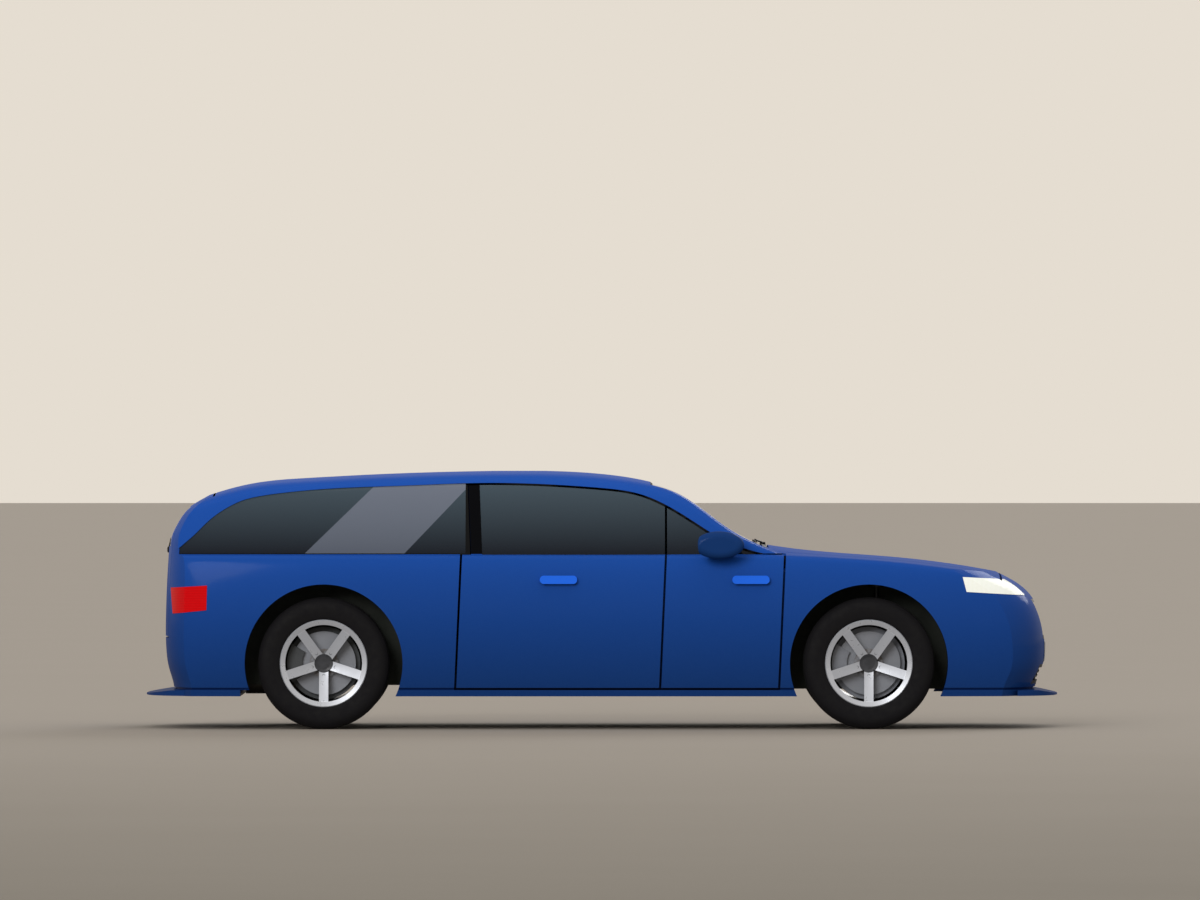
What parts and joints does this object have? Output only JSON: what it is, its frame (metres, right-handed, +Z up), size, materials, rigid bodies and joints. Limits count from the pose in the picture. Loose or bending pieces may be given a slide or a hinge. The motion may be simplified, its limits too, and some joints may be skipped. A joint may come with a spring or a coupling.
{
  "type": "station wagon",
  "caption": "Blue passenger station wagon with a long glazed cabin, opening doors, bonnet and tailgate, steered front wheels and open-spoke alloy rims.",
  "frame": {"origin": "on the ground under the middle of the car's length and width", "axes": "+X forward, +Y to the car's left, +Z up"},
  "size_m": [4.968, 2.104, 1.395],
  "materials": {
    "body_paint": "gloss",
    "mirror_paint": "gloss",
    "black_trim": "matte",
    "tinted_glass": "polished",
    "headlamp_lens": "gloss",
    "tail_lamp_lens": "gloss",
    "underbody": "matte",
    "chassis_steel": "satin",
    "cast_parts": "rough",
    "engine_block": "cast",
    "exhaust_steel": "brushed",
    "seat_cloth": "woven",
    "cabin_plastic": "matte",
    "wheel_alloy": "satin",
    "tyre_rubber": "matte",
    "disc_iron": "machined"
  },
  "bodies": {
    "body": {"body_side_left": "body_paint", "body_side_right": "body_paint", "roof_panel": "body_paint", "fender_left": "body_paint", "fender_right": "body_paint", "front_bumper": "body_paint", "rear_bumper": "body_paint", "grille": "black_trim", "windscreen": "tinted_glass", "cowl": "black_trim", "quarter_windows": "tinted_glass", "headlamps": "headlamp_lens", "tail_lamps": "tail_lamp_lens", "floor_pan": "underbody", "firewall": "underbody", "wheel_housings": "underbody", "front_rails": "underbody", "front_suspension": "chassis_steel", "rear_suspension": "chassis_steel", "engine": "engine_block", "radiator": "black_trim", "exhaust": "exhaust_steel", "seats": "seat_cloth", "dashboard": "cabin_plastic"},
    "bonnet": {"bonnet": "body_paint"},
    "tailgate": {"tailgate": "body_paint", "tailgate_glass": "tinted_glass"},
    "door_front_left": {"door_front_left": "body_paint", "door_glass_front_left": "tinted_glass", "mirror_left": "mirror_paint"},
    "door_rear_left": {"door_rear_left": "body_paint", "door_glass_rear_left": "tinted_glass"},
    "knuckle_left": {"knuckle_left": "cast_parts"},
    "wheel_front_left": {"rim_front_left": "wheel_alloy", "tyre_front_left": "tyre_rubber", "brake_disc_front_left": "disc_iron"},
    "wheel_rear_left": {"rim_rear_left": "wheel_alloy", "tyre_rear_left": "tyre_rubber", "brake_disc_rear_left": "disc_iron"},
    "door_front_right": {"door_front_right": "body_paint", "door_glass_front_right": "tinted_glass", "mirror_right": "mirror_paint"},
    "door_rear_right": {"door_rear_right": "body_paint", "door_glass_rear_right": "tinted_glass"},
    "knuckle_right": {"knuckle_right": "cast_parts"},
    "wheel_front_right": {"rim_front_right": "wheel_alloy", "tyre_front_right": "tyre_rubber", "brake_disc_front_right": "disc_iron"},
    "wheel_rear_right": {"rim_rear_right": "wheel_alloy", "tyre_rear_right": "tyre_rubber", "brake_disc_rear_right": "disc_iron"}
  },
  "joints": [
    {"name": "steer_left", "type": "hinge", "parent": "body", "child": "knuckle_left", "pos_m": [1.442, 0.708, 0.356], "axis": [0, 0, 1], "range_deg": [-32, 32]},
    {"name": "spin_front_left", "type": "hinge", "parent": "knuckle_left", "child": "wheel_front_left", "pos_m": [1.442, 0.783, 0.356], "axis": [0, 1, 0], "continuous": true},
    {"name": "spin_rear_left", "type": "hinge", "parent": "body", "child": "wheel_rear_left", "pos_m": [-1.504, 0.783, 0.356], "axis": [0, 1, 0], "continuous": true},
    {"name": "open_door_front_left", "type": "hinge", "parent": "body", "child": "door_front_left", "pos_m": [0.983, 0.925, 0.5], "axis": [0, 0, -1], "range_deg": [0, 68]},
    {"name": "open_door_rear_left", "type": "hinge", "parent": "body", "child": "door_rear_left", "pos_m": [0.34, 0.925, 0.5], "axis": [0, 0, -1], "range_deg": [0, 68]},
    {"name": "steer_right", "type": "hinge", "parent": "body", "child": "knuckle_right", "pos_m": [1.442, -0.708, 0.356], "axis": [0, 0, 1], "range_deg": [-32, 32]},
    {"name": "spin_front_right", "type": "hinge", "parent": "knuckle_right", "child": "wheel_front_right", "pos_m": [1.442, -0.783, 0.356], "axis": [0, 1, 0], "continuous": true},
    {"name": "spin_rear_right", "type": "hinge", "parent": "body", "child": "wheel_rear_right", "pos_m": [-1.504, -0.783, 0.356], "axis": [0, 1, 0], "continuous": true},
    {"name": "open_door_front_right", "type": "hinge", "parent": "body", "child": "door_front_right", "pos_m": [0.983, -0.925, 0.5], "axis": [0, 0, 1], "range_deg": [0, 68]},
    {"name": "open_door_rear_right", "type": "hinge", "parent": "body", "child": "door_rear_right", "pos_m": [0.34, -0.925, 0.5], "axis": [0, 0, 1], "range_deg": [0, 68]},
    {"name": "open_bonnet", "type": "hinge", "parent": "body", "child": "bonnet", "pos_m": [0.905, 0, 0.993], "axis": [0, -1, 0], "range_deg": [0, 55]},
    {"name": "open_tailgate", "type": "hinge", "parent": "body", "child": "tailgate", "pos_m": [-2.11, 0, 1.277], "axis": [0, 1, 0], "range_deg": [0, 80]}
  ],
  "couplings": [
    {"joint": "steer_right", "follows": "steer_left", "ratio": 1}
  ]
}
